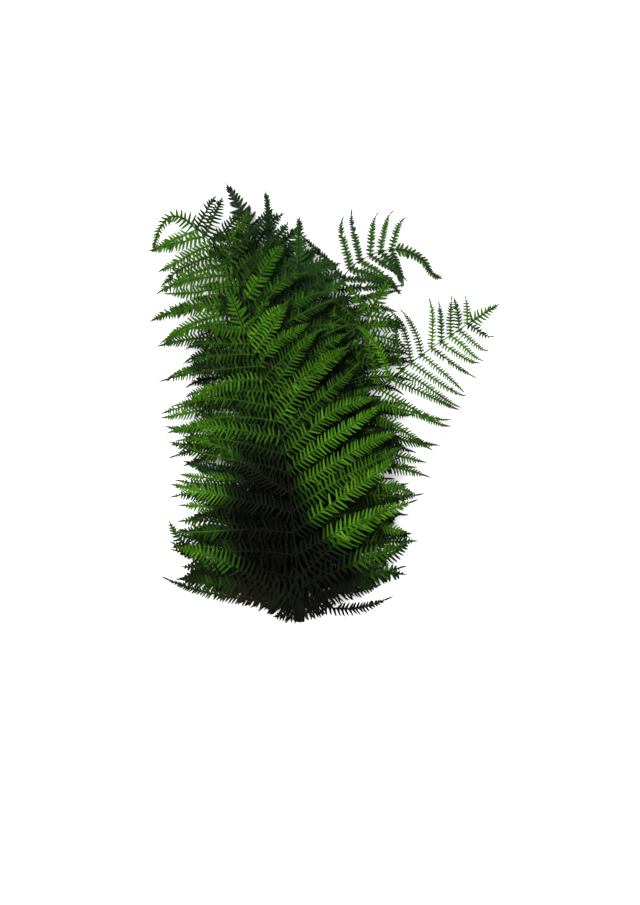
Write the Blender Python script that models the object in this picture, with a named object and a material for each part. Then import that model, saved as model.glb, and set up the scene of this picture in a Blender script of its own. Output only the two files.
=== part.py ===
"""A bunch of preserved bracken fronds that lies on a table, face up.

Units are metres. +Y runs from the cut stems to the tips, +X is to the right seen from above, +Z is up.
The origin is on the flat underside of the lowest stem, a little way in from its cut end.
Every frond is one solid: a tapered stem, and pinnae whose leaflets are cut to the rib in a thin blade.
The fronds lie on each other like sheets. Each sheet keeps a gap above the one below it everywhere.
"""

import bisect
import math
import random
from typing import NamedTuple

import bmesh
import bpy
from mathutils import Vector

# Stems and blades
CUT_END_Y = -0.012
STEM_RADIUS = 0.0017
STEM_TIP_RADIUS = 0.0006
STEM_SIDES = 6
BLADE_THICKNESS = 0.0007
BLADE_COLOUR = (0.07, 0.22, 0.015, 1.0)

# The stems lie in rows at their cut ends, and fan out into sheets over this length
BUNDLE_PITCH = 2 * STEM_RADIUS + 0.0005
BUNDLE_LENGTH = 0.048

# The gap between neighbouring sheets: small at the stems, full in the body, and smaller again at the sides
# and towards the tips, where the fronds sink to the table. A slow wave makes each gap differ
GAP_AT_STEMS = 0.0040
GAP_IN_BODY = 0.0088
GAP_RISE_Y = 0.20
GAP_WAVE = 0.0024
WAVE_ACROSS = 17.0
WAVE_ALONG = 11.0
WAVE_SHIFT_ACROSS = 2.3
WAVE_SHIFT_ALONG = 1.7
EDGE_REACH = 0.23
EDGE_THINNING = 0.58
TIPS_START_Y = 0.36
TIPS_REACH = 0.26
TIPS_THINNING = 0.30

# Pinnae. One pair in two of those that the living frond has is made, with leaflets larger than life
PINNA_EVERY = 2
FIRST_PINNA = 0.036
FRONT_FIRST_PINNA = 0.016
PINNA_PITCH_LOW = 0.036
PINNA_PITCH_HIGH = 0.011
GOLDEN_SHARE = 0.618
OUTLINE_POWER = 2.5
OUTLINE_FULLNESS = 0.9
FOOT_SHARE = 0.84
FOOT_REACH = 0.18
PINNA_DROOP = math.radians(12.0)
ANGLE_JITTER = math.radians(5.0)
SEED = 41

# The front frond's lowest pair spreads wide: the turn from the stem, the bend and the length, by side
FRONT_FOOT_PAIR = {
    1: (math.radians(67.0), math.radians(3.0), 0.197),
    -1: (math.radians(97.0), math.radians(9.0), 0.134),
}

# Leaflets
LEAFLET_LENGTH = 0.0185
TIP_LEAFLET_LENGTH = 0.014
LEAFLET_PITCH = 0.0272
LEAFLET_LEAN = 0.34
MOST_OF_ROOM = 0.46
MOST_OF_PINNA = 0.30
LEAST_LEAFLET = 0.22
ROOT_LEAFLET = 0.75
ROOT_REACH = 0.15
RIB_HALF_WIDTH = 0.0014
TAIL_SHARE = 0.12

# Neighbouring pinnae of one frond lie a little above and below each other past this distance from the stem.
# Nothing lies on the front frond, so the upper ones stand up further there
SHINGLE = 0.0006
FRONT_RAISE = 0.0042
SHINGLE_RUN = 0.020
TABLE_RUN_START = 0.004
TIP_OVERRUN = 0.001

# How finely a stem follows its route
ROUTE_POINTS = 400
TURN_PER_RUN = math.radians(13.0)
LONGEST_RUN = 0.045


class Frond(NamedTuple):
    """What makes one frond differ from the others.

    Angles are between pinna and stem, at the foot and at the tip. The last pinna's place is a share of the stem.
    """

    name: str
    stem_column: float
    stem_row: int
    longest_left: float
    longest_right: float
    left_degrees: tuple
    right_degrees: tuple
    last_pinna: float
    route: list


# From the lowest sheet to the highest. Each route starts at the cut end and gives places in plan
FRONDS = [
    Frond(
        "frond_top_thin", 0.0, 0, 0.178, 0.150, (84, 56), (74, 54), 0.87,
        [(0.0, CUT_END_Y), (0.000, 0.074), (-0.002, 0.186), (-0.008, 0.298), (-0.021, 0.410),
         (-0.036, 0.508), (-0.047, 0.594)],
    ),
    Frond(
        "frond_top_right", 1.0, 0, 0.154, 0.156, (76, 58), (76, 60), 0.88,
        [(0.0, CUT_END_Y), (0.002, 0.074), (0.007, 0.186), (0.018, 0.298), (0.036, 0.396), (0.064, 0.472),
         (0.104, 0.502), (0.142, 0.508), (0.172, 0.494), (0.186, 0.474), (0.204, 0.466)],
    ),
    Frond(
        "frond_top_dark", -1.0, 0, 0.182, 0.160, (86, 52), (68, 56), 0.87,
        [(0.0, CUT_END_Y), (-0.002, 0.074), (-0.005, 0.186), (-0.014, 0.298), (-0.030, 0.403),
         (-0.051, 0.491), (-0.078, 0.557), (-0.103, 0.603)],
    ),
    Frond(
        "frond_top_middle", 0.5, 1, 0.165, 0.160, (82, 54), (72, 54), 0.87,
        [(0.0, CUT_END_Y), (0.002, 0.074), (0.005, 0.186), (0.007, 0.298), (0.004, 0.410), (0.000, 0.491),
         (0.001, 0.556)],
    ),
    Frond(
        "frond_right_shoulder", -0.5, 1, 0.160, 0.166, (78, 60), (76, 62), 0.87,
        [(0.0, CUT_END_Y), (0.003, 0.074), (0.013, 0.172), (0.033, 0.270), (0.063, 0.354), (0.097, 0.417),
         (0.132, 0.471)],
    ),
    Frond(
        "frond_right", 1.5, 1, 0.148, 0.160, (66, 56), (78, 66), 0.91,
        [(0.0, CUT_END_Y), (0.006, 0.074), (0.022, 0.158), (0.056, 0.242), (0.099, 0.300), (0.149, 0.344),
         (0.207, 0.385), (0.281, 0.433)],
    ),
    Frond(
        "frond_left", 0.0, 2, 0.192, 0.150, (86, 58), (64, 66), 0.87,
        [(0.0, CUT_END_Y), (-0.003, 0.074), (-0.011, 0.186), (-0.028, 0.298), (-0.057, 0.403),
         (-0.097, 0.483), (-0.139, 0.532), (-0.171, 0.552), (-0.192, 0.536), (-0.203, 0.500)],
    ),
    Frond(
        "frond_front", 1.0, 2, 0.196, 0.190, (75, 58), (60, 50), 0.87,
        [(0.0, CUT_END_Y), (-0.002, 0.046), (-0.007, 0.123), (-0.020, 0.228), (-0.043, 0.312),
         (-0.072, 0.389), (-0.098, 0.452)],
    ),
]
FRONT_LAYER = len(FRONDS) - 1


def smooth(value):
    """0 below 0, 1 above 1, and an eased step between."""
    value = max(0.0, min(1.0, value))
    return value * value * (3.0 - 2.0 * value)


def mix(low, high, share):
    return low + (high - low) * share


def clear_scene():
    for obj in list(bpy.data.objects):
        bpy.data.objects.remove(obj, do_unlink=True)


def gap_below(layer, x, y):
    """The height that sheet number layer keeps above the one under it."""
    rise = smooth(y / GAP_RISE_Y)
    wave = math.sin(WAVE_ACROSS * x + WAVE_SHIFT_ACROSS * layer)
    wave *= math.cos(WAVE_ALONG * y + WAVE_SHIFT_ALONG * layer * layer)
    arch = 1.0 - EDGE_THINNING * min(1.0, (x / EDGE_REACH) ** 2)
    sink = 1.0 - TIPS_THINNING * smooth((y - TIPS_START_Y) / TIPS_REACH)
    return (mix(GAP_AT_STEMS, GAP_IN_BODY, rise) + GAP_WAVE * rise * wave) * arch * sink


def lying_height(radius):
    """The height of a stem's axis when its flat side lies on the table."""
    return radius * math.cos(math.pi / STEM_SIDES)


def sheet_height(layer, x, y, radius):
    """The height of a frond's middle surface. Near the cut end it closes in on the stem's row in the bundle."""
    spread = sum(gap_below(n, x, y) for n in range(1, layer + 1))
    bundle = FRONDS[layer].stem_row * BUNDLE_PITCH * math.sin(math.pi / 3)
    away = smooth(math.hypot(x, y - CUT_END_Y) / BUNDLE_LENGTH)
    return lying_height(radius) + mix(bundle, spread, away)


def catmull(points, count):
    """A smooth curve through the points, as count points in plan."""
    ends = [points[0], *points, points[-1]]
    spans = len(points) - 1
    made = []
    for n in range(count):
        at = n / (count - 1) * spans
        k = min(int(at), spans - 1)
        u = at - k
        made.append(tuple(
            0.5 * (2 * b + (c - a) * u + (2 * a - 5 * b + 4 * c - d) * u ** 2 + (3 * b - a - 3 * c + d) * u ** 3)
            for a, b, c, d in zip(*ends[k : k + 4])
        ))
    return made


class Stem:
    """A frond's stem as straight runs that follow its route, shorter where the route bends."""

    def __init__(self, layer):
        frond = FRONDS[layer]
        shift = frond.stem_column * BUNDLE_PITCH
        plan = [
            (x + shift * (1.0 - smooth((y - CUT_END_Y) / (2 * BUNDLE_LENGTH))), y)
            for x, y in catmull(frond.route, ROUTE_POINTS)
        ]
        fine = [Vector((x, y, sheet_height(layer, x, y, STEM_RADIUS))) for x, y in plan]
        ways = [after - before for before, after in zip(fine, fine[1:])]
        ways.append(ways[-1])
        along = [0.0]
        for way in ways[:-1]:
            along.append(along[-1] + way.xy.length)
        chosen = [0]
        for k in range(1, ROUTE_POINTS - 1):
            last = chosen[-1]
            if ways[k].angle(ways[last]) > TURN_PER_RUN or along[k] - along[last] > LONGEST_RUN:
                chosen.append(k)
        chosen.append(ROUTE_POINTS - 1)
        self.length = along[-1]
        self.points = [plan[k] for k in chosen]
        self.along = [along[k] for k in chosen]
        self.radii = [self.radius(distance) for distance in self.along]
        self.heights = [sheet_height(layer, x, y, r) for (x, y), r in zip(self.points, self.radii)]
        self.headings = []
        for k in chosen:
            turn = math.atan2(ways[k].y, ways[k].x)
            before = self.headings[-1] if self.headings else turn
            self.headings.append(before + math.remainder(turn - before, 2 * math.pi))

    def radius(self, distance):
        return mix(STEM_RADIUS, STEM_TIP_RADIUS, distance / self.length)

    def at(self, distance):
        """The point, the heading and the height of the axis at this distance from the cut end."""
        distance = min(max(distance, 0.0), self.length)
        k = min(bisect.bisect_right(self.along, distance), len(self.along) - 1) - 1
        u = (distance - self.along[k]) / (self.along[k + 1] - self.along[k])
        (xa, ya), (xb, yb) = self.points[k], self.points[k + 1]
        heading = mix(self.headings[k], self.headings[k + 1], u)
        return (mix(xa, xb, u), mix(ya, yb, u)), heading, mix(self.heights[k], self.heights[k + 1], u)


def stem_mesh(name, stem):
    """The stem: a tapered six-sided rod along its runs, as a closed mesh."""
    curve = bpy.data.curves.new(name, "CURVE")
    curve.dimensions = "3D"
    curve.twist_mode = "Z_UP"
    curve.bevel_depth = STEM_RADIUS
    curve.bevel_resolution = (STEM_SIDES - 4) // 2
    curve.use_fill_caps = True
    spline = curve.splines.new("POLY")
    spline.points.add(len(stem.points) - 1)
    for point, (x, y), height, radius in zip(spline.points, stem.points, stem.heights, stem.radii):
        point.co = (x, y, height, 1.0)
        point.radius = radius / STEM_RADIUS
    rod = bpy.data.objects.new(name + "_curve", curve)
    bpy.context.scene.collection.objects.link(rod)
    bpy.context.view_layer.update()
    graph = bpy.context.evaluated_depsgraph_get()
    data = bpy.data.meshes.new_from_object(rod.evaluated_get(graph))
    data.name = name
    bpy.data.objects.remove(rod, do_unlink=True)
    mesh = bmesh.new()
    mesh.from_mesh(data)
    bmesh.ops.remove_doubles(mesh, verts=mesh.verts, dist=1e-6)
    bmesh.ops.recalc_face_normals(mesh, faces=mesh.faces)
    mesh.to_mesh(data)
    mesh.free()
    return data


def stagger(layer):
    """How far this frond's pinnae are shifted against the others', so that they fill each other's gaps."""
    return 0.0 if layer == FRONT_LAYER else layer * GOLDEN_SHARE % 1.0


def pinna_room(share):
    """The distance from one living pair of pinnae to the next, which shrinks towards the tip."""
    return mix(PINNA_PITCH_LOW, PINNA_PITCH_HIGH, share)


def pinna_stations(stem, layer):
    """Distances from the cut end where the living frond's pairs of pinnae grow."""
    first = FRONT_FIRST_PINNA if layer == FRONT_LAYER else FIRST_PINNA
    distance = first - CUT_END_Y + PINNA_EVERY * stagger(layer) % 1.0 * PINNA_PITCH_LOW
    stations = []
    while distance < FRONDS[layer].last_pinna * stem.length:
        stations.append(distance)
        distance += pinna_room(distance / stem.length)
    return stations


def pinna_length(longest, share):
    """The frond's outline: widest near a fifth of its length, and narrowing to the tip."""
    narrowing = (1.0 - share ** OUTLINE_POWER) ** OUTLINE_FULLNESS
    return longest * narrowing * mix(FOOT_SHARE, 1.0, min(1.0, share / FOOT_REACH))


def bent_line(start, heading, bend, length):
    """A function that gives the point and the heading at a distance along an arc in plan."""

    def at(distance):
        half_turn = bend * distance / length / 2
        chord = distance * (math.sin(half_turn) / half_turn if half_turn else 1.0)
        middle = heading + half_turn
        point = (start[0] + chord * math.cos(middle), start[1] + chord * math.sin(middle))
        return point, heading + 2 * half_turn

    return at


def leaflet_reach(share, longest):
    """How far a leaflet's tip stands out from the rib: most near the pinna's foot, least at its tail."""
    narrowing = 1.0 - (share / (1.0 - TAIL_SHARE)) ** 2
    return longest * mix(LEAST_LEAFLET, 1.0, narrowing) * mix(ROOT_LEAFLET, 1.0, smooth(share / ROOT_REACH))


def comb_outline(line, length, longest_leaflet):
    """The outline of one pinna: a rib with leaflets on both sides, each cut down to the rib, and a plain tail."""
    body = length * (1.0 - TAIL_SHARE)
    count = max(2, round(body / LEAFLET_PITCH))
    pitch = body / count

    def beside(distance, step):
        (x, y), heading = line(distance)
        return x - step * math.sin(heading), y + step * math.cos(heading)

    def side(sign):
        made = []
        for n in range(count):
            middle = (n + 0.5) * pitch
            reach = leaflet_reach(middle / length, longest_leaflet)
            made.append(beside(middle + LEAFLET_LEAN * reach, sign * reach))
            made.append(beside((n + 1) * pitch, sign * RIB_HALF_WIDTH))
        return made

    root = [beside(0.0, -RIB_HALF_WIDTH), beside(0.0, RIB_HALF_WIDTH)]
    return [*root, *side(1), beside(length, 0.0), *reversed(side(-1))]


def blade_mesh(outline, height):
    """A closed thin blade on a sheet. Its outline is split into triangles once, so both faces are alike."""
    mesh = bmesh.new()
    face = mesh.faces.new([mesh.verts.new((x, y, 0.0)) for x, y in outline])
    bmesh.ops.triangulate(mesh, faces=[face], ngon_method="BEAUTY")
    lower = list(mesh.faces)
    made = bmesh.ops.extrude_face_region(mesh, geom=lower, use_keep_orig=True)
    upper = {vertex for vertex in made["geom"] if isinstance(vertex, bmesh.types.BMVert)}
    for vertex in mesh.verts:
        side = 0.5 if vertex in upper else -0.5
        vertex.co.z = height(vertex.co.x, vertex.co.y) + side * BLADE_THICKNESS
    bmesh.ops.recalc_face_normals(mesh, faces=mesh.faces)
    data = bpy.data.meshes.new("blade")
    mesh.to_mesh(data)
    mesh.free()
    return data


def pinna_height(layer, stem, distance, raised):
    """The height of a pinna over the table: at its root it meets the stem's axis, and past that it lies on its sheet."""
    start, _, axis = stem.at(distance)
    radius = stem.radius(distance)
    offset = axis - sheet_height(layer, *start, radius)

    def height(x, y):
        away = math.dist((x, y), start)
        settled = smooth(away / SHINGLE_RUN)
        sheet = sheet_height(layer, x, y, radius) + offset * (1.0 - settled)
        if layer == 0:
            return mix(sheet, BLADE_THICKNESS / 2, smooth((away - TABLE_RUN_START) / SHINGLE_RUN))
        return sheet + raised * settled

    return height


def side_pinnae(layer, stem):
    """The frond's pinnae, in pairs up its stem."""
    frond = FRONDS[layer]
    sides = [
        (1, frond.longest_left, frond.left_degrees),
        (-1, frond.longest_right, frond.right_degrees),
    ]
    jitter = random.Random(SEED + layer)
    first = int(PINNA_EVERY * stagger(layer))
    blades = []
    for index, distance in enumerate(pinna_stations(stem, layer)[first::PINNA_EVERY]):
        share = distance / stem.length
        start, heading, _ = stem.at(distance)
        for sign, longest, degrees in sides:
            turn = math.radians(mix(*degrees, share)) + jitter.uniform(-1, 1) * ANGLE_JITTER
            bend = sign * PINNA_DROOP + jitter.uniform(-1, 1) * ANGLE_JITTER
            length = pinna_length(longest, share)
            if layer == FRONT_LAYER and index == 0:
                turn, bend, length = FRONT_FOOT_PAIR[sign]
            line = bent_line(start, heading + sign * turn, bend, length)
            room = MOST_OF_ROOM * PINNA_EVERY * pinna_room(share) * math.sin(turn)
            leaflet = min(LEAFLET_LENGTH, room, MOST_OF_PINNA * length)
            upper = FRONT_RAISE if layer == FRONT_LAYER else SHINGLE
            raised = upper if (index + (sign > 0)) % 2 else -SHINGLE
            blades.append(blade_mesh(
                comb_outline(line, length, leaflet), pinna_height(layer, stem, distance, raised)
            ))
    return blades


def tip_blade(layer, stem):
    """The frond's pointed end, where the leaflets grow from the stem itself."""
    start = pinna_stations(stem, layer)[-1] + pinna_room(FRONDS[layer].last_pinna)

    def line(distance):
        (x, y), heading, _ = stem.at(start + distance)
        past = max(0.0, start + distance - stem.length)
        return (x + past * math.cos(heading), y + past * math.sin(heading)), heading

    def height(x, y):
        return sheet_height(layer, x, y, STEM_TIP_RADIUS)

    length = stem.length - start + TIP_OVERRUN
    return blade_mesh(comb_outline(line, length, TIP_LEAFLET_LENGTH), height)


def join_all(frond, meshes):
    """One union of the object with every mesh, applied."""
    repeats = bpy.data.collections.new(frond.name + "_repeats")
    bpy.context.scene.collection.children.link(repeats)
    for data in meshes:
        repeats.objects.link(bpy.data.objects.new("repeat", data))
    union = frond.modifiers.new("join", "BOOLEAN")
    union.operation = "UNION"
    union.operand_type = "COLLECTION"
    union.collection = repeats
    union.solver = "MANIFOLD"
    bpy.context.view_layer.update()
    graph = bpy.context.evaluated_depsgraph_get()
    joined = bpy.data.meshes.new_from_object(frond.evaluated_get(graph))
    frond.modifiers.clear()
    frond.data = joined
    for obj in list(repeats.objects):
        bpy.data.objects.remove(obj, do_unlink=True)
    bpy.data.collections.remove(repeats)


def leaf_material():
    material = bpy.data.materials.new("preserved_leaf")
    material.use_nodes = True
    shader = material.node_tree.nodes["Principled BSDF"]
    shader.inputs["Base Color"].default_value = BLADE_COLOUR
    shader.inputs["Roughness"].default_value = 0.6
    shader.inputs["Metallic"].default_value = 0.0
    return material


def make_frond(parts, material, layer):
    """One frond, in one solid."""
    stem = Stem(layer)
    name = FRONDS[layer].name
    frond = bpy.data.objects.new(name, stem_mesh(name, stem))
    frond.data.materials.append(material)
    parts.objects.link(frond)
    join_all(frond, [*side_pinnae(layer, stem), tip_blade(layer, stem)])


def main():
    clear_scene()
    parts = bpy.data.collections.new("preserved_fern_bunch")
    bpy.context.scene.collection.children.link(parts)
    material = leaf_material()
    for layer in range(len(FRONDS)):
        make_frond(parts, material, layer)


main()
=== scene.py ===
"""The looks of a bunch of preserved bracken fronds that lies face up on a pale table.

Units are metres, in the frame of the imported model: +Y runs from the cut stems to the tips, +Z is up.
Every frond is two pieces. One holds its leaflets, each a closed thin blade with a ridge and a keel, and the
other its stem with the ribs of its pinnae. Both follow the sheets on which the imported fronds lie, so the
formulas of the sheets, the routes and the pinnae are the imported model's own.
"""

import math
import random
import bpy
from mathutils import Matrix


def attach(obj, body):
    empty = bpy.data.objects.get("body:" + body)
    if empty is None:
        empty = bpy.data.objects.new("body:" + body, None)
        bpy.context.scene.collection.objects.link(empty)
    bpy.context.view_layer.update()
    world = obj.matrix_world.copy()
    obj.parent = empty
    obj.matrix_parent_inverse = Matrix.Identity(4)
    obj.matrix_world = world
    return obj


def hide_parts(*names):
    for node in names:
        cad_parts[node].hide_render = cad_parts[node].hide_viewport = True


bl_info = {
    "name": "Preserved Fern Bunch",
    "version": (1, 0, 0),
    "blender": (4, 5, 0),
    "location": "3D View > Sidebar > Fern",
    "description": "Dresses a packed bunch of bracken fronds with leaflets, ribs, stems and their finishes",
    "category": "Add Mesh",
}

from collections import namedtuple

import bpy
import numpy as np
from bpy.props import FloatProperty, FloatVectorProperty, PointerProperty

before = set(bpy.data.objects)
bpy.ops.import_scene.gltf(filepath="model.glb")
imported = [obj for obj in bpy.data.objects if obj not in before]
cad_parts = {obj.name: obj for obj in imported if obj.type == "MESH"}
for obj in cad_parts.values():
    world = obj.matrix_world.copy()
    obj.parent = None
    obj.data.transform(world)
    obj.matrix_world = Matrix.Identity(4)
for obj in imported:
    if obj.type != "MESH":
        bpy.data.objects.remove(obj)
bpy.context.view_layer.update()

# Stems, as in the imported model
CUT_END_Y = -0.012
STEM_RADIUS = 0.0017
STEM_TIP_RADIUS = 0.0006
PACKED_STEM_SIDES = 6
BLADE_THICKNESS = 0.0007
BUNDLE_PITCH = 2 * STEM_RADIUS + 0.0005
BUNDLE_LENGTH = 0.048
ROUTE_POINTS = 400

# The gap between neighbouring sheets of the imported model, at the stems and in the body
GAPS = (0.004, 0.0088)
GAP_RISE_Y = 0.2
GAP_WAVE = 0.0024
WAVE_ACROSS = 17.0
WAVE_ALONG = 11.0
WAVE_SHIFT_ACROSS = 2.3
WAVE_SHIFT_ALONG = 1.7
EDGE_REACH = 0.23
EDGE_THINNING = 0.58
TIPS_RUN = (0.36, 0.26)
TIPS_THINNING = 0.3

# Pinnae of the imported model. It has one pair in two, and the looks have them all
PINNA_EVERY = 2
FIRST_PINNA = 0.036
FRONT_FIRST_PINNA = 0.016
PINNA_PITCHES = (0.036, 0.011)
GOLDEN_SHARE = 0.618
OUTLINE_POWER = 2.5
OUTLINE_FULLNESS = 0.9
FOOT_SHARE = 0.84
FOOT_REACH = 0.18
PINNA_DROOP = math.radians(12.0)
ANGLE_JITTER = math.radians(5.0)
SEED = 41
SHINGLE = 0.002
FRONT_RAISE = 0.0042
SHINGLE_RUN = 0.02
# Tone of the pinnae: painted light on the raised rows, and painted shade on the lowered rows that they overlap,
# with a random spread
RAISED_ROW_PAINTED_LIGHT = 0.08
LOWERED_ROW_PAINTED_SHADE = -0.34
TONE_SPREAD = 0.12
TABLE_RUN_START = 0.004
FRONT_FOOT_PAIR = {
    1: (math.radians(67.0), math.radians(3.0), 0.197, 1.5),
    -1: (math.radians(97.0), math.radians(9.0), 0.134, 0.72),
}

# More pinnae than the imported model's rows, most of them at the foot, where they cover the stems: the place on
# the stem, the side, the turn from the stem, the bend, the hook at the end, the length, the height over the
# frond's sheet and the size of the leaflets as a share of full size
EXTRA_PINNAE = {
    "frond_front": [
        (0.011, 1, 88, 6, 0, 0.04, 0.0016, 0.62), (0.013, -1, 84, -6, 0, 0.036, 0.0014, 0.58),
        (0.013, 1, 58, 3, 0, 0.075, -0.001, 0.9), (0.013, -1, 62, -4, 0, 0.062, -0.0012, 0.8),
        (0.02, 1, 66, 2, 0, 0.13, -0.0024, 0.95), (0.024, -1, 68, -32, -6, 0.112, -0.0022, 0.36),
        (0.028, 1, 84, -18, -8, 0.2, -0.002, 0.42), (0.031, -1, 80, -4, 0, 0.116, -0.0026, 0.66),
        (0.044, 1, 72, 4, 4, 0.174, -0.0014, 0.95), (0.047, -1, 67, -7, 2, 0.168, -0.0012, 0.95),
    ],
    "frond_left": [
        (0.024, 1, 72, -22, -34, 0.222, -0.001, 0.8), (0.03, -1, 74, 6, 14, 0.12, 0.0006, 0.9),
        (0.036, 1, 78, 2, 0, 0.168, 0.0014, 0.95), (0.042, -1, 76, -2, 0, 0.158, -0.0012, 0.95),
        (0.098, 1, 70, 10, -8, 0.166, -0.0012, 0.9), (0.112, 1, 66, 13, 14, 0.17, 0.0016, 0.95),
        (0.137, 1, 72, 6, 6, 0.166, -0.0014, 0.9), (0.166, 1, 70, 10, -4, 0.168, 0.0012, 0.95),
        (0.188, 1, 80, 8, -4, 0.15, -0.0018, 0.95),
        (0.44, 1, 56, 30, 12, 0.148, 0.003, 0.9),
    ],
}

# Draws that only the looks make. A pair is the least and the most, or a middle and a spread
OWN_SEED = 977
LEAFLET_SEED = 5203
OWN_LENGTHS = (0.88, 1.03)
LEAFLET_SIZES = (0.88, 1.06)
RAISED_SHARES = (0.5, 1.1)
ROLL_SHARES = (0.2, 1.6)
EXTRA_ROLL_SHARES = (0.2, 1.2)
SAGS = (-0.003, 0.004)
BLOOM = (-0.45, 0.5)
EXTRA_TONE = (-0.05, 0.08)

# Ribs: how finely they are traced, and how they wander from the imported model's arcs
RIB_POINTS = 81
SWAY = math.radians(9.0)
HOOK = math.radians(20.0)
ASKEW = math.radians(4.0)
LEAN_SPREAD = math.radians(5.0)
HOOKS = (math.radians(-9.0), math.radians(17.0))
HOOK_TURNS = (0.25, 0.3)
HOOK_POWER = 4

# Where the outer pinnae of one side hook another way than the rest: the hook, and the share of the stem from
# which they do
OUTER_HOOKS = {
    ("frond_right", -1): (math.radians(34.0), 0.43),
    ("frond_top_right", 1): (math.radians(-66.0), 0.71),
}
OUTER_RUN = 0.11

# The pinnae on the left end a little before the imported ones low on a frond, and a little past them high on it
LEFT_REACH = (0.935, 1.03)
LEFT_REACH_RUN = (0.3, 0.25)

# Leaflets along a rib. Their pitch falls as 1 - PITCH_FALL u² where u is the share of the rib passed
PITCH_FALL = 0.5
FIRST_LEAFLET = (0.15, 0.6)
PITCH_SPREAD = (0.93, 1.1)
PLACE_SPREAD = 0.09
SIDE_OFFSET = 0.22
MOST_LEAFLETS = 44
SMALL_LEAF_POWER = 0.28
MOST_OF_ROOM = 0.96
MOST_OF_PINNA = 0.3
BARE_TAIL = 0.01
TAIL_SPREAD = (0.6, 1.5)
LEAST_LEAFLET = 0.15
LEAFLET_FALL_POWER = 4.2
ROOT_LEAFLET = 0.8
ROOT_REACH = 0.1
ROOT_LEAN = math.radians(26.0)
UPPER_LEAFLET = 0.86
FALLEN_SHARE = 0.012
SMALL_LEAF_RUN = (0.25, 0.53)
LOW_LEAF_GAIN = 1.5
LOW_LEAF_END = {1: 0.06, -1: 0.02}
LOW_LEAF_RUN = 0.13
LENGTH_SPREAD = 0.06
LEAFLET_LEAN_SPREAD = math.radians(4.0)
TILT_SPREAD = math.radians(7.0)
LEAFLET_TONE_SPREAD = 0.12
# Painted shade on the leaflets towards the tips of the ribs
RIB_TIP_PAINTED_SHADE = 0.3

# A leaflet's rings from its foot on the rib to just short of its tip, and how wide it is there
RING_SHARES = np.array([0.0, 0.1, 0.36, 0.66, 0.9])
RING_WIDTHS = np.array([2.2, 1.26, 1.0, 0.82, 0.46])
RING_SIDES = 4
LEAFLET_VERTICES = len(RING_SHARES) * RING_SIDES + 1
BODY_WIDTH_SHARE = 0.222
DARK_WIDENING = 0.18
HIGH_WIDENING = 0.24
HIGH_RUN = (0.34, 0.12)
TIP_WIDENING = 0.55
TIP_WIDENING_POWER = 4
SMALL_WIDENING = 0.42
FOOT_WIDENING = 0.22
FOOT_END_Y = 0.12
MOST_WIDTH_SHARE = 0.27
WIDTH_ALLOWANCE = 0.0002
MARGIN_DROP = 0.34
ROLL_RUN = 0.3
CURL_PER_METRE = (1.5, 4.5)
SICKLE_SPREAD = 0.5
LEAFLET_THICKNESS = 0.00036
LEAFLET_SHARP_ANGLE = math.radians(50)
STEM_SHARP_ANGLE = math.radians(60)
TABLE_CLEARANCE = 0.00012

# The comb at a frond's tip
COMB_START = 0.6
COMB_SHORTEST = 0.005
COMB_FALL_POWER = 0.8
COMB_LENGTH_SPREAD = 0.05
COMB_PITCH = 0.0038
COMB_PITCH_GAIN = 0.13
COMB_WIDENING = 0.1
LARGE_COMB = 0.024
LARGE_COMB_RANGE = 0.008
COMB_LEANS = (math.radians(78), math.radians(55))
COMB_LEAN_SPREAD = math.radians(5.0)
COMB_TILT_SPREAD = math.radians(9.0)
COMB_TONE = (-0.06, 0.1)
TIP_TAIL = 0.009

# How much leaf lies over a place, for the painted shade under it, counted in square cells of this size
COVER_CELL = 0.007
COVER_LOW = -0.3
COVER_CELLS = 140
COVER_DEPTH = 2.4
PAINTED_LIGHT_UNDER_COVER = 0.04

# Ribs and stems
RIB_RADII = (0.00086, 0.00074)
RIB_FLATNESS = 0.45
RIB_SIDES = 6
RIB_RINGS = 15
RIB_SINK = 0.0001
SMALL_PINNA = 0.12
LEAST_RIB = 0.55
STEM_SIDES = 12
STEM_RINGS = 160
GROOVE_DEPTH = 0.28
GROOVE_WIDTH = 0.4
STEM_TONE = 0.55
RIB_TONE = 0.78

# The solid flat point at a rib's end: how long it is, and its rings' places and widths as shares of the rib's
POINT_LENGTH = 0.017
POINT_PLACES = np.array([0.0, 0.22, 0.5, 0.8, 1.0])
POINT_WIDTHS = np.array([1.0, 1.75, 1.85, 1.05, 0.12])

# Brown parts: the ends of outer leaflets, the ends of ribs, the stem's foot, and a place at the left of the
# bunch's lower edge
DRY_LEAFLET = 0.6
DRY_ON_RIB = (0.8, 0.2)
DRY_ON_LEAFLET = (0.5, 0.5)
DRY_RIB = 0.6
DRY_RIB_RUN = (0.9, 0.1)
STEM_GREENING = 0.75
STEM_GREEN_SHARE = 0.45
WITHERED = 0.45
WITHERED_ACROSS = (-0.085, 0.04)
WITHERED_RUN = (0.05, -0.03)

# The stage
TABLE_HALF = 6.0
KEY_SIZE = 0.8
KEY_PLACE = (-1.0, 0.9, 2.2)
KEY_AIM = (0.0, 0.3)
CAMERA_X_Y = (0.0294, 0.2247)


# A frond of the bunch. Degrees are between pinna and stem, at the foot and at the tip. The last pinna's place
# is a share of the stem. Tip leaves is the size of the leaflets on the outer pinnae as a share of full size,
# and the comb is its longest leaflet past the last pinna
# Tone scales the painted light on all of a frond's leaflets, stems and ribs: partly how dark the frond itself
# is, partly painted shade of the whole frond
Frond = namedtuple(
    "Frond",
    "name stem_column stem_row longest_left longest_right left_degrees right_degrees last_pinna tip_leaves"
    " comb slot tone route",
)

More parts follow.
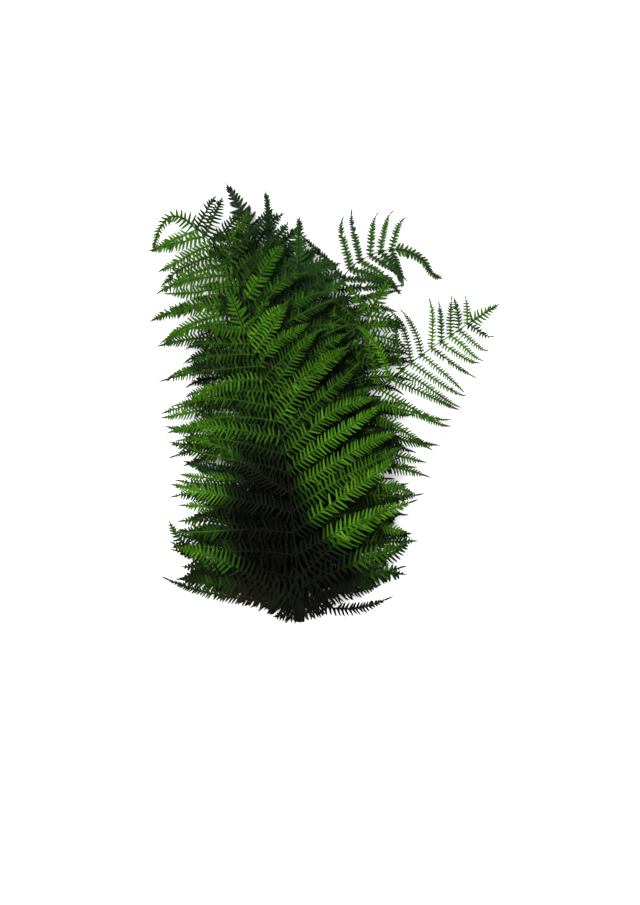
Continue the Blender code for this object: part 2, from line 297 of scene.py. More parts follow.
# From the lowest sheet to the highest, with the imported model's routes past the cut end
FRONDS = [Frond(*row) for row in (
    ("frond_top_thin", 0.0, 0, 0.178, 0.15, (84, 56), (74, 54), 0.87, 0.74, 0.014, "leaf_dark", 0.8, [
        (0.0, 0.074), (-0.002, 0.186), (-0.008, 0.298), (-0.021, 0.41), (-0.036, 0.508),
        (-0.047, 0.594),
    ]),
    ("frond_top_right", 1.0, 0, 0.154, 0.156, (76, 58), (76, 60), 0.88, 0.4, 0.012, "leaf_dark", 0.82, [
        (0.002, 0.074), (0.007, 0.186), (0.018, 0.298), (0.036, 0.396), (0.064, 0.472), (0.104, 0.502),
        (0.142, 0.508), (0.172, 0.494), (0.186, 0.474), (0.204, 0.466),
    ]),
    ("frond_top_dark", -1.0, 0, 0.182, 0.16, (86, 52), (68, 56), 0.87, 0.95, 0.027, "leaf_dark", 0.48, [
        (-0.002, 0.074), (-0.005, 0.186), (-0.014, 0.298), (-0.03, 0.403), (-0.051, 0.491),
        (-0.078, 0.557), (-0.103, 0.603),
    ]),
    ("frond_top_middle", 0.5, 1, 0.165, 0.16, (82, 54), (72, 54), 0.87, 0.84, 0.021, "leaf_dark", 0.84, [
        (0.002, 0.074), (0.005, 0.186), (0.007, 0.298), (0.004, 0.41), (0.0, 0.491), (0.001, 0.556),
    ]),
    ("frond_right_shoulder", -0.5, 1, 0.16, 0.166, (78, 60), (76, 62), 0.87, 0.84, 0.02, "leaf_green", 0.86, [
        (0.003, 0.074), (0.013, 0.172), (0.033, 0.27), (0.063, 0.354), (0.097, 0.417), (0.132, 0.471),
    ]),
    ("frond_right", 1.5, 1, 0.148, 0.16, (66, 56), (78, 66), 0.91, 0.39, 0.015, "leaf_green", 0.9, [
        (0.006, 0.074), (0.022, 0.158), (0.056, 0.242), (0.099, 0.3), (0.149, 0.344), (0.207, 0.385),
        (0.281, 0.433),
    ]),
    ("frond_left", 0.0, 2, 0.192, 0.15, (86, 58), (64, 66), 0.87, 0.82, 0.016, "leaf_green", 0.96, [
        (-0.003, 0.074), (-0.011, 0.186), (-0.028, 0.298), (-0.057, 0.403), (-0.097, 0.483),
        (-0.139, 0.532), (-0.171, 0.552), (-0.192, 0.536), (-0.203, 0.5),
    ]),
    ("frond_front", 1.0, 2, 0.196, 0.19, (75, 58), (60, 50), 0.87, 0.95, 0.024, "leaf_green", 1.0, [
        (-0.002, 0.046), (-0.007, 0.123), (-0.02, 0.228), (-0.043, 0.312), (-0.072, 0.389),
        (-0.098, 0.452),
    ]),
)]
FRONT_LAYER = len(FRONDS) - 1


# Settings that a user would change


def length_setting(name, description, default, least):
    return FloatProperty(name=name, description=description, default=default, unit="LENGTH", min=least)


def angle_setting(name, description, degrees):
    return FloatProperty(name=name, description=description, default=math.radians(degrees), subtype="ANGLE")


def colour_setting(name, description, *default):
    return FloatVectorProperty(name=name, description=description, default=default, size=3, subtype="COLOR")


class LeafletSettings(bpy.types.PropertyGroup):
    """The sizes and the set of the leaflets."""

    length: length_setting("Leaflet Length", "Length of the longest leaflets", 0.0182, 0.005)
    pitch: length_setting("Leaflet Pitch", "Distance between leaflets near the stem", 0.0061, 0.002)
    lean: angle_setting("Lean", "Angle between a leaflet and its rib near the stem", 77)
    tip_lean: angle_setting("Lean at the Tip", "Angle between a leaflet and its rib near the rib's tip", 65)
    sickle: angle_setting("Sickle", "How far a leaflet bends forward over its length", 13)
    pinna_roll: angle_setting("Pinna Roll", "Turn of a pinna on its rib, so that neighbours shingle", 11)
    leaflet_roll: angle_setting("Leaflet Roll", "Usual turn of a leaflet on its own midrib", 16)


class FinishSettings(bpy.types.PropertyGroup):
    """The colours of the fern. The five leaf colours from Covered Leaf to Bright Green are the stops of a ramp
    of painted light and shade.
    """

    # Painted shadow: leaflets under other fronds
    dark: colour_setting("Covered Leaf", "Leaflets that others cover", 0.0012, 0.0012, 0.001)
    shade: colour_setting("Shaded Leaf", "Leaflets at the dark foot of the bunch", 0.0084, 0.0092, 0.0066)
    # Painted shade deep in the bunch
    deep: colour_setting("Deep Green", "Leaflets deep in the bunch", 0.01, 0.0275, 0.0052)
    green: colour_setting("Green", "Most of the leaflets", 0.054, 0.172, 0.007)
    # The top of the painted light ramp, the best lit leaflets, and the colour of the painted highlight on the
    # midribs
    bright: colour_setting("Bright Green", "The youngest and best lit leaflets", 0.115, 0.34, 0.016)
    bluish: colour_setting("Blue Green", "Tint of the darker fronds", 0.017, 0.05, 0.019)
    underside: colour_setting("Underside", "The paler lower faces", 0.062, 0.125, 0.034)
    stem: colour_setting("Stem", "The stems near their cut ends", 0.026, 0.018, 0.009)
    dry: colour_setting("Dry Tips", "Tips and tails that dried brown", 0.07, 0.05, 0.018)
    pith: colour_setting("Pith", "The lightest part of a stem's cut face", 0.3, 0.22, 0.11)


class StageSettings(bpy.types.PropertyGroup):
    """The floor, the lights and the camera."""

    floor: colour_setting("Floor", "Colour of the table top", 0.88, 0.88, 0.88)
    sky: FloatProperty(name="Sky", description="Strength of the light from all round", default=0.27, min=0.0)
    key: FloatProperty(
        name="Key Light", description="Power of the main lamp", default=62.0, unit="POWER", min=0.0
    )
    table_light: FloatProperty(
        name="Table Light", description="Strength of the light that whitens the table", default=5.2, min=0.0
    )
    camera_height: length_setting("Camera Height", "Height of the camera over the table", 2.5, 0.5)
    focal_length: FloatProperty(
        name="Focal Length", description="Focal length of the lens, in millimetres", default=71.03, min=10.0
    )


# Shapes in plan and height


def smooth(value):
    """0 below 0, 1 above 1, and the step 3v² - 2v³ between."""
    value = np.clip(value, 0.0, 1.0)
    return value * value * (3.0 - 2.0 * value)


def eased(value, start, run):
    """The smooth step from 0 at the start to 1 at start + run. A run below 0 goes the other way."""
    return smooth((value - start) / run)


def mix(low, high, share):
    """low at the share 0, high at 1, and a straight line through both."""
    return low + (high - low) * share


def bell(value, middle, width, power=2):
    """1 at the middle, and exp(-|d|^p) away from it, where d is the distance in widths."""
    return np.exp(-(np.abs((value - middle) / width) ** power))


def gap_below(layer, x, y):
    """The height that a sheet keeps over the one under it.

    It grows from the stems to the body, carries a slow sine wave, and thins out with (x / reach)² to the
    sides and with an eased step to the tips.
    """
    rise = smooth(y / GAP_RISE_Y)
    wave = np.sin(WAVE_ACROSS * x + WAVE_SHIFT_ACROSS * layer)
    wave = wave * np.cos(WAVE_ALONG * y + WAVE_SHIFT_ALONG * layer * layer)
    arch = 1.0 - EDGE_THINNING * np.minimum(1.0, (x / EDGE_REACH) ** 2)
    sink = 1.0 - TIPS_THINNING * eased(y, *TIPS_RUN)
    return (mix(*GAPS, rise) + GAP_WAVE * rise * wave) * arch * sink


def sheet_height(layer, x, y, radius):
    """The middle surface of a frond: the sum of the gaps below it, drawn in to the bundle at the cut end."""
    spread = sum(gap_below(n, x, y) for n in range(1, layer + 1)) + 0.0 * x
    bundle = FRONDS[layer].stem_row * BUNDLE_PITCH * math.sin(math.pi / 3)
    away = smooth(np.hypot(x, y - CUT_END_Y) / BUNDLE_LENGTH)
    return radius * math.cos(math.pi / PACKED_STEM_SIDES) + mix(bundle, spread, away)


def catmull(points, count):
    """Points of a Catmull-Rom curve, the cubic whose slope at each given point is half the step across it."""
    ends = np.array([points[0], *points, points[-1]])
    at = np.linspace(0.0, len(points) - 1, count)
    k = np.minimum(at.astype(int), len(points) - 2)
    u = (at - k)[:, None]
    a, b, c, d = ends[k], ends[k + 1], ends[k + 2], ends[k + 3]
    bent = (2 * a - 5 * b + 4 * c - d) * u**2 + (3 * b - a - 3 * c + d) * u**3
    return 0.5 * (2 * b + (c - a) * u + bent)


class StemPath:
    """A frond's stem: its place, heading, height and radius as functions of the distance from the cut end."""

    def __init__(self, layer):
        frond = FRONDS[layer]
        plan = catmull([(0.0, CUT_END_Y), *frond.route], ROUTE_POINTS)
        shift = frond.stem_column * BUNDLE_PITCH
        plan[:, 0] += shift * (1.0 - eased(plan[:, 1], CUT_END_Y, 2 * BUNDLE_LENGTH))
        steps = np.hypot(*np.diff(plan, axis=0).T)
        way = np.gradient(plan, axis=0)
        self.layer = layer
        self.along = np.concatenate([[0.0], np.cumsum(steps)])
        self.length = self.along[-1]
        self.x, self.y = plan.T
        self.turn = np.unwrap(np.arctan2(way[:, 1], way[:, 0]))
        self.z = sheet_height(layer, self.x, self.y, self.radius(self.along))

    def radius(self, distance):
        """An even taper from the cut end to the tip."""
        return mix(STEM_RADIUS, STEM_TIP_RADIUS, distance / self.length)

    def at(self, distance):
        """Place, height and heading at a distance, or at an array of them."""
        fields = (self.x, self.y, self.z, self.turn)
        return tuple(np.interp(distance, self.along, values) for values in fields)


def stagger(layer):
    """How far a frond's pinnae are shifted against the others', in shares of two pitches."""
    return 0.0 if layer == FRONT_LAYER else layer * GOLDEN_SHARE % 1.0


def pinna_room(share):
    """The distance to the next pair of pinnae."""
    return mix(*PINNA_PITCHES, share)


def pinna_stations(stem):
    """Distances from the cut end where the pairs of pinnae grow."""
    first = FRONT_FIRST_PINNA if stem.layer == FRONT_LAYER else FIRST_PINNA
    distance = first - CUT_END_Y + PINNA_EVERY * stagger(stem.layer) % 1.0 * PINNA_PITCHES[0]
    stations = []
    while distance < FRONDS[stem.layer].last_pinna * stem.length:
        stations.append(distance)
        distance += pinna_room(distance / stem.length)
    return stations


def low_gain(distance, sign):
    """How much larger leaflets are on a frond's lowest pinnae, easing to 1, sooner on the right."""
    return mix(LOW_LEAF_GAIN, 1.0, eased(distance, LOW_LEAF_END[sign], LOW_LEAF_RUN))


def pinna_length(longest, share):
    """The outline of a frond: (1 - share^p)^q, and a little less at the foot."""
    narrowing = (1.0 - share**OUTLINE_POWER) ** OUTLINE_FULLNESS
    return longest * narrowing * mix(FOOT_SHARE, 1.0, min(1.0, share / FOOT_REACH))


# One row a pinna: where it grows, which way, how long, how bent, and what sets it off from the rest
Pinnae = namedtuple(
    "Pinnae", "distance side heading bend length leaflet lean raised roll sag sway phase hook tone bloom"
)


def pinnae_of(stem, settings):
    """All pinnae of a frond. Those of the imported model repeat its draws, so their tips end where its do."""
    frond = FRONDS[stem.layer]
    packed_draws = random.Random(SEED + stem.layer)
    own_draws = random.Random(OWN_SEED + stem.layer)
    looks = random.Random(LEAFLET_SEED + stem.layer)
    first = int(PINNA_EVERY * stagger(stem.layer))
    sides = [(1, frond.longest_left, frond.left_degrees), (-1, frond.longest_right, frond.right_degrees)]
    rows = []
    for index, distance in enumerate(pinna_stations(stem)):
        packed = index >= first and (index - first) % PINNA_EVERY == 0
        draws = packed_draws if packed else own_draws
        share = distance / stem.length
        heading = float(stem.at(distance)[3])
        for sign, longest, degrees in sides:
            turn = math.radians(mix(*degrees, share)) + draws.uniform(-1, 1) * ANGLE_JITTER
            bend = sign * PINNA_DROOP + draws.uniform(-1, 1) * ANGLE_JITTER
            length = pinna_length(longest, share)
            if not packed:
                length *= own_draws.uniform(*OWN_LENGTHS)
            if sign > 0:
                length *= mix(*LEFT_REACH, eased(share, *LEFT_REACH_RUN))
            gain = low_gain(distance, sign)
            if stem.layer == FRONT_LAYER and index == 0:
                turn, bend, length, gain = FRONT_FOOT_PAIR[sign]
            room = MOST_OF_ROOM * pinna_room(share) * math.sin(turn)
            outwards = eased(share, *SMALL_LEAF_RUN)
            leaflet = settings.length * mix(1.0, frond.tip_leaves, outwards) * gain
            hook = sign * mix(*HOOKS, eased(share, *HOOK_TURNS))
            outer_hook, outer_start = OUTER_HOOKS.get((frond.name, sign), (hook, 0.0))
            hook = mix(hook, outer_hook, eased(share, outer_start, OUTER_RUN))
            pair = (index - first) // PINNA_EVERY if packed else index
            raised = (pair + (sign > 0)) % 2
            upper = FRONT_RAISE if stem.layer == FRONT_LAYER else SHINGLE
            rows.append((
                distance, sign, heading + sign * turn + looks.gauss(0.0, 1.0) * ASKEW, bend, length,
                min(leaflet, room, MOST_OF_PINNA * length) * looks.uniform(*LEAFLET_SIZES),
                looks.gauss(0.0, 1.0) * LEAN_SPREAD,
                (upper if raised else -SHINGLE) * looks.uniform(*RAISED_SHARES),
                settings.pinna_roll * looks.uniform(*ROLL_SHARES),
                looks.uniform(*SAGS),
                looks.gauss(0.0, 0.5) * SWAY,
                looks.uniform(0.0, 1.0),
                hook + looks.gauss(0.0, 1.0) * HOOK,
                looks.gauss(RAISED_ROW_PAINTED_LIGHT if raised else LOWERED_ROW_PAINTED_SHADE, TONE_SPREAD),
                max(0.0, looks.gauss(*BLOOM)),
            ))
    for distance, sign, turn, bend, hook, length, raised, leaflet in EXTRA_PINNAE.get(frond.name, []):
        heading = float(stem.at(distance)[3])
        rows.append((
            distance, sign, heading + sign * math.radians(turn), math.radians(bend), length,
            min(leaflet * settings.length * low_gain(distance, sign), MOST_OF_PINNA * length), 0.0, raised,
            settings.pinna_roll * looks.uniform(*EXTRA_ROLL_SHARES), 0.0, looks.gauss(0.0, 0.3) * SWAY,
            looks.uniform(0.0, 1.0), math.radians(hook), looks.gauss(*EXTRA_TONE), 0.0,
        ))
    return Pinnae(*np.array(rows).T)


def arc(x, y, heading, bend, length, distance):
    """A point on a circular arc in plan and its heading there.

    The chord to the point is s sin(h) / h long, where h is half the turn up to the distance s, and it lies
    halfway between the first heading and the one there.
    """
    half = bend * distance / length / 2
    chord = distance * np.sinc(half / math.pi)
    return x + chord * np.cos(heading + half), y + chord * np.sin(heading + half), heading + 2 * half


def rib_lines(stem, pinnae):
    """Place, height and heading at RIB_POINTS even shares of every pinna's rib, one row a pinna.

    The heading turns evenly by the bend, sways with a sine of the share and hooks with a high power of it,
    and the place is its running sum. The height starts on the stem's axis and eases over to the frond's
    sheet, a row up or down for every other pinna. The rib sags with the cube of the share.
    """
    row = Pinnae(*(field[:, None] for field in pinnae))
    x0, y0, z0, _ = (value[:, None] for value in stem.at(pinnae.distance))
    share = np.linspace(0.0, 1.0, RIB_POINTS)[None, :]
    swayed = row.sway * (np.sin(2 * math.pi * (share + row.phase)) - np.sin(2 * math.pi * row.phase))
    heading = row.heading + row.bend * share + swayed + row.hook * share**HOOK_POWER
    step = row.length / (RIB_POINTS - 1)
    middle = (heading[:, 1:] + heading[:, :-1]) / 2
    start = np.zeros_like(x0)
    x = x0 + np.cumsum(np.hstack([start, step * np.cos(middle)]), axis=1)
    y = y0 + np.cumsum(np.hstack([start, step * np.sin(middle)]), axis=1)
    radius = stem.radius(row.distance)
    away = np.hypot(x - x0, y - y0)
    settled = smooth(away / SHINGLE_RUN)
    offset = z0 - sheet_height(stem.layer, x0, y0, radius)
    z = sheet_height(stem.layer, x, y, radius) + offset * (1.0 - settled)
    if stem.layer == 0:
        z = mix(z, BLADE_THICKNESS / 2, eased(away, TABLE_RUN_START, SHINGLE_RUN))
    else:
        z = z + row.raised * settled - row.sag * share**3
    return np.stack([x, y, z, heading])


def on_ribs(lines, share):
    """The ribs' place, height and heading at an array of shares with one row a pinna."""
    at = np.clip(share, 0.0, 1.0) * (RIB_POINTS - 1)
    k = np.minimum(at.astype(int), RIB_POINTS - 2)
    rows = np.arange(len(share))[:, None]
    return mix(lines[:, rows, k], lines[:, rows, k + 1], at - k)


# Leaflets


# One row a leaflet: its foot on the rib, the rib's heading, its side, its sizes and its set
Leaflets = namedtuple("Leaflets", "x y z heading side length pitch lean tilt tone bloom rib_share")


def leaflet_length(longest, share, last):
    """Full near the rib's foot, and less with share^p towards the last leaflet's share."""
    narrowing = 1.0 - np.clip(share / last, 0.0, 1.0) ** LEAFLET_FALL_POWER
    return longest * mix(LEAST_LEAFLET, 1.0, narrowing) * mix(ROOT_LEAFLET, 1.0, smooth(share / ROOT_REACH))


def leaflet_shares(number, pitch, reach):
    """Where leaflets stand, as shares of the line that they grow on.

    Number k stands at the share u where the count of pitches p (1 - a u²) up to it is k, which is
    u = tanh(sqrt(a) p k / L) / sqrt(a) for a line as long as L.
    """
    root = math.sqrt(PITCH_FALL)
    return np.tanh(root * pitch * number / reach) / root


def side_leaflets(stem, settings, rng):
    """The leaflets on all pinnae of a frond. Those of the two sides stand a part of a pitch apart."""
    pinnae = pinnae_of(stem, settings)
    row = Pinnae(*(field[:, None, None] for field in pinnae))
    count = np.arange(MOST_LEAFLETS)[None, :, None]
    side = np.array([1.0, -1.0])[None, None, :]
    size = row.leaflet / settings.length
    pitch = settings.pitch * np.where(size > 1.0, size, size**SMALL_LEAF_POWER)
    pitch = pitch * rng.uniform(*PITCH_SPREAD, row.length.shape)
    tail = BARE_TAIL * np.minimum(1.0, row.length / SMALL_PINNA) * rng.uniform(*TAIL_SPREAD, row.length.shape)
    last = 1.0 - tail / row.length
    number = count + SIDE_OFFSET * (side > 0) + rng.uniform(*FIRST_LEAFLET, row.length.shape)
    number = number + rng.uniform(-PLACE_SPREAD, PLACE_SPREAD, number.shape)
    share = leaflet_shares(number, pitch, row.length)
    shape = share.shape
    grown = (share < last) & (rng.random(shape) > FALLEN_SHARE)
    x, y, z, heading = on_ribs(rib_lines(stem, pinnae), share.reshape(shape[0], -1)).reshape(4, *shape)
    towards_tip = -row.side * side
    length = leaflet_length(row.leaflet, share, last) * rng.normal(1.0, LENGTH_SPREAD, shape)
    length = length * np.where(towards_tip > 0, UPPER_LEAFLET, 1.0)
    lean = mix(settings.lean, settings.tip_lean, share) + row.lean
    lean = lean + rng.normal(0.0, LEAFLET_LEAN_SPREAD, shape)
    lean = lean + ROOT_LEAN * np.exp(-share * row.length / settings.length) * (towards_tip < 0)
    tilt = row.roll * towards_tip + rng.normal(0.0, TILT_SPREAD, shape)
    tone = row.tone + rng.normal(0.0, LEAFLET_TONE_SPREAD, shape) - RIB_TIP_PAINTED_SHADE * share**3
    pitch = pitch * (1.0 - PITCH_FALL * share**2)
    table = [x, y, z, heading, side, length, pitch, lean, tilt, tone, row.bloom, share]
    return Leaflets(*(np.broadcast_to(value, shape)[grown] for value in table))


def tip_leaflets(stem, settings, rng):
    """The comb past the last pinna, whose leaflets shorten with a power of the share to the frond's tail."""
    longest = FRONDS[stem.layer].comb
    last = pinna_stations(stem)[-1]
    start = last + COMB_START * pinna_room(last / stem.length)
    reach = stem.length - TIP_TAIL - start
    pitch = COMB_PITCH + COMB_PITCH_GAIN * longest
    wider = 1.0 + COMB_WIDENING * smooth(1.0 - (LARGE_COMB - longest) / LARGE_COMB_RANGE)
    number = np.arange(MOST_LEAFLETS)[:, None] + SIDE_OFFSET * np.array([[0.0, 1.0]])
    share = leaflet_shares(number, pitch, reach)
    side = np.broadcast_to([[1.0, -1.0]], share.shape)
    grown = share < 1.0
    share, side = share[grown], side[grown]
    x, y, z, heading = stem.at(start + share * reach)
    count = len(share)
    return Leaflets(
        x, y, z, heading, side,
        mix(longest, COMB_SHORTEST, share**COMB_FALL_POWER) * rng.normal(1.0, COMB_LENGTH_SPREAD, count),
        pitch * (1.0 - PITCH_FALL * share**2) * wider,
        mix(*COMB_LEANS, share) + rng.normal(0.0, COMB_LEAN_SPREAD, count),
        rng.normal(0.0, COMB_TILT_SPREAD, count),
        rng.normal(*COMB_TONE, count), np.zeros(count), 0.5 * share,
    )


def leaflets_of(stem, settings):
    """All leaflets of a frond, and the generator that goes on to shape them."""
    rng = np.random.default_rng(LEAFLET_SEED + stem.layer)
    groups = [side_leaflets(stem, settings, rng), tip_leaflets(stem, settings, rng)]
    return Leaflets(*(np.concatenate(fields) for fields in zip(*groups))), rng


def cell_of(x, y):
    """The column and the row of the cell that a place is in."""
    return tuple(((value - COVER_LOW) / COVER_CELL).astype(int) for value in (x, y))


def cover_over(layer, x, y, settings):
    """How far the fronds above hide a place, from 0 to 1, which sets the painted shade under them.

    Their leaflets' areas are summed in square cells and spread to the neighbouring cells, and the share of
    light that they take is 1 - exp(-d a), where a is the leaf area over a unit of floor.
    """
    area = np.zeros((COVER_CELLS, COVER_CELLS))
    for upper in range(layer + 1, len(FRONDS)):
        leaflets, _ = leaflets_of(StemPath(upper), settings)
        heading = leaflets.heading + leaflets.side * leaflets.lean
        across = leaflets.x + np.cos(heading) * leaflets.length / 2
        along = leaflets.y + np.sin(heading) * leaflets.length / 2
        leaf = leaflets.length * leaflets.pitch * 2 * BODY_WIDTH_SHARE / COVER_CELL**2
        np.add.at(area, cell_of(across, along), leaf)
    for axis in (0, 1):
        area = (np.roll(area, 1, axis) + area + np.roll(area, -1, axis)) / 3
    return 1.0 - np.exp(-COVER_DEPTH * area[cell_of(x, y)])


def beside_line(x, y, z, heading, out, up):
    """Points that are set off from a level line: out to its left, and up."""
    x, y, z, heading = (value[..., None] for value in (x, y, z, heading))
    return np.stack([x - out * np.sin(heading), y + out * np.cos(heading), z + up], axis=-1)


def leaflet_vertices(layer, leaflets, settings, rng):
    """The rings of every leaflet, as an array of leaflets, vertices and coordinates.

    The midrib is an arc that bends forward from the lean angle. A ring holds the left margin, the ridge, the
    right margin and the keel. Margins hang below the ridge by a share of the half width, and the whole ring
    is turned on the midrib. Height follows the sheet, plus the tilt times the distance from the rib, less a
    curl that grows with the square of the way along the leaflet.
    """
    count = len(leaflets.x)
    row = Leaflets(*(field[:, None] for field in leaflets))
    shares = np.concatenate([RING_SHARES, [1.0]])[None, :]
    widths = np.concatenate([RING_WIDTHS, [0.0]])[None, :]
    sickle = settings.sickle * rng.normal(1.0, SICKLE_SPREAD, (count, 1))
    heading = row.heading + row.side * row.lean
    along = shares * row.length
    x, y, heading = arc(row.x, row.y, heading, -row.side * sickle, row.length, along)
    sheet = sheet_height(layer, x, y, STEM_TIP_RADIUS) - sheet_height(layer, row.x, row.y, STEM_TIP_RADIUS)
    if layer == 0:
        sheet = 0.0 * sheet
    beside = along * np.sin(row.lean)
    z = row.z + sheet + np.tan(row.tilt) * beside - rng.normal(*CURL_PER_METRE, (count, 1)) * along**2
    wider = 1.0 + TIP_WIDENING * row.rib_share**TIP_WIDENING_POWER + HIGH_WIDENING * eased(row.y, *HIGH_RUN)
    if FRONDS[layer].slot == "leaf_dark":
        wider = wider + DARK_WIDENING
    wider = wider * (1.0 + FOOT_WIDENING * eased(row.y, FOOT_END_Y, -FOOT_END_Y))
    wider = wider * (1.0 + SMALL_WIDENING * np.clip(1.0 - row.length / settings.length, 0.0, 1.0))
    most = MOST_WIDTH_SHARE * row.length + WIDTH_ALLOWANCE
    half = np.minimum(BODY_WIDTH_SHARE * row.pitch * wider, most) * widths
    roll = rng.normal(0.0, settings.leaflet_roll, (count, 1)) * smooth(shares / ROLL_RUN)
    level = 0.0 * half
    across = np.stack([half, level, -half, level], axis=2)
    thick = LEAFLET_THICKNESS * np.where(widths > 0.0, 1.0, 0.5) + level
    lift = np.stack([-MARGIN_DROP * half, level, -MARGIN_DROP * half, -thick], axis=2)
    cos, sin = np.cos(roll)[:, :, None], np.sin(roll)[:, :, None]
    rings = beside_line(x, y, z, heading, across * cos - lift * sin, across * sin + lift * cos)
    lowest = rings[..., 2].min(axis=2, keepdims=True)
    rings[..., 2] += np.maximum(0.0, TABLE_CLEARANCE - lowest)
    return np.concatenate([rings[:, :-1].reshape(count, -1, 3), rings[:, -1, 1:2]], axis=1)


def ring_quads(rings, near, far):
    """Quads from a ring's near corners to its far ones, and back along the next ring."""
    sides = len(near)
    steps = np.arange(rings - 1)[:, None] * sides
    following = steps + sides
    return np.stack([steps + near, steps + far, following + far, following + near], axis=2).reshape(-1)


def leaflet_faces(count):
    """Quads between rings, four triangles to the tip and a quad at the foot, for a number of leaflets.

    Returns the corners as one array, the corners of each face, and its finish: 0 above, 1 below.
    """
    ring = np.arange(RING_SIDES)
    following = (ring + 1) % RING_SIDES
    rings = len(RING_SHARES)
    quads = ring_quads(rings, ring, following)
    last = (rings - 1) * RING_SIDES
    peak = np.full(RING_SIDES, LEAFLET_VERTICES - 1)
    tip = np.stack([last + ring, last + following, peak], axis=1).reshape(-1)
    corners = np.concatenate([quads, tip, ring[::-1]])
    sizes = np.array([4] * (len(quads) // 4) + [3] * RING_SIDES + [4])
    below = (ring >= RING_SIDES // 2).astype(int)
    finish = np.concatenate([np.tile(below, rings), [1]])
    starts = np.arange(count)[:, None] * LEAFLET_VERTICES
    return (starts + corners).reshape(-1), np.tile(sizes, count), np.tile(finish, count)


# Painted light and shade by place, which goes into the colour of leaflets, stems and ribs. The dark foot is a
# painted shade, a bell across, whose middle shifts and whose width narrows up the bunch
FULL_LIGHT = 0.69
LEAST_LIGHT = 0.085
FOOT_X = -0.004
FOOT_SHIFT = -0.04
FOOT_SHIFT_RUN = (0.05, 0.11)
FOOT_WIDTHS = (0.08, 0.044)
FOOT_NARROWING_Y = 0.14
FOOT_FADE = (0.27, -0.17)
FOOT_POWER = 3

# Painted shade along the lower edge, more on its right
LOW_SHADE = 0.22
LOW_RIGHT_GAIN = 0.45
LOW_RIGHT_RUN = 0.08
LOW_FADE = (0.13, -0.11)

# Painted shade in places, or painted light where the first number is below 0: how much, then what it follows
# across and up the bunch. A bell has a middle and a width, and an eased step has a start and a run
SHADES = [
    (0.14, bell, (-0.05, 0.052), eased, (0.48, -0.16)),
    (0.05, bell, (-0.01, 0.06), bell, (0.345, 0.05)),
    (0.12, eased, (-0.06, -0.05), eased, (0.26, 0.12)),
    (0.23, bell, (-0.055, 0.075), eased, (0.38, 0.12)),
    (-0.2, bell, (-0.14, 0.032), bell, (0.165, 0.09)),
    (0.3, bell, (-0.19, 0.05), eased, (0.1, -0.05)),
]


def painted_light_at(x, y):
    """How much painted light a leaflet's colour carries by its place, from 0 to 1.

    It is brightest on the right. The painted shades are added up and taken from the full painted light, and the
    middle of the foot is a painted shade, nearly black.
    """
    foot_x = FOOT_X + FOOT_SHIFT * eased(y, *FOOT_SHIFT_RUN)
    foot_width = mix(*FOOT_WIDTHS, np.clip(y / FOOT_NARROWING_Y, 0.0, 1.0))
    foot = bell(x, foot_x, foot_width, FOOT_POWER) * eased(y, *FOOT_FADE)
    shade = LOW_SHADE * (1.0 + LOW_RIGHT_GAIN * smooth(x / LOW_RIGHT_RUN)) * eased(y, *LOW_FADE)
    for depth, across, columns, along, rows in SHADES:
        shade = shade + depth * across(x, *columns) * along(y, *rows)
    return np.clip((FULL_LIGHT - shade) * (1.0 - foot) ** FOOT_POWER, LEAST_LIGHT, 1.0)


def painted_light_on(layer, x, y, settings):
    """The painted light on a place of a frond, less the painted shade of the leaflets above it."""
    return painted_light_at(x, y) * FRONDS[layer].tone * mix(1.0, PAINTED_LIGHT_UNDER_COVER, cover_over(layer, x, y, settings))


def withered_at(x, y):
    """How brown a leaflet is by its place: a bell across, at the left of the bunch's lower edge."""
    return WITHERED * bell(x, *WITHERED_ACROSS) * eased(y, *WITHERED_RUN)


# Meshes


def placed(name, data, place=(0.0, 0.0, 0.0)):
    """A new object in the scene."""
    made = bpy.data.objects.new(name, data)
    made.location = place
    bpy.context.scene.collection.objects.link(made)
    return made


def new_mesh(name, vertices, corners, sizes, finish, sharp_angle):
    """A mesh object from arrays of coordinates, corners, corners a face and finishes."""
    data = bpy.data.meshes.new(name)
    data.vertices.add(len(vertices))
    data.vertices.foreach_set("co", np.ascontiguousarray(vertices, dtype=np.float32).reshape(-1))
    data.loops.add(len(corners))
    data.loops.foreach_set("vertex_index", corners.astype(np.int32))
    data.polygons.add(len(sizes))
    starts = np.concatenate([[0], np.cumsum(sizes)[:-1]])
    data.polygons.foreach_set("loop_start", starts.astype(np.int32))
    data.polygons.foreach_set("material_index", finish.astype(np.int32))
    data.update(calc_edges=True)
    if data.validate():
        raise RuntimeError(f"the mesh of {name} had faults")
    data.shade_smooth()
    data.set_sharp_from_angle(angle=sharp_angle)
    return placed(name, data)


def point_attribute(data, name, values):
    """A number for each vertex, which the finishes read by its name."""
    data.attributes.new(name, "FLOAT", "POINT").data.foreach_set("value", values.astype(np.float32))


def uv_map(data, corners, across, along):
    """The leaflet's own map: across from 0 to 1, and along as a share of the longest leaflet."""
    layer = data.uv_layers.new(name="leaf")
    places = np.stack([across[corners], along[corners]], axis=1)
    layer.data.foreach_set("uv", places.astype(np.float32).reshape(-1))


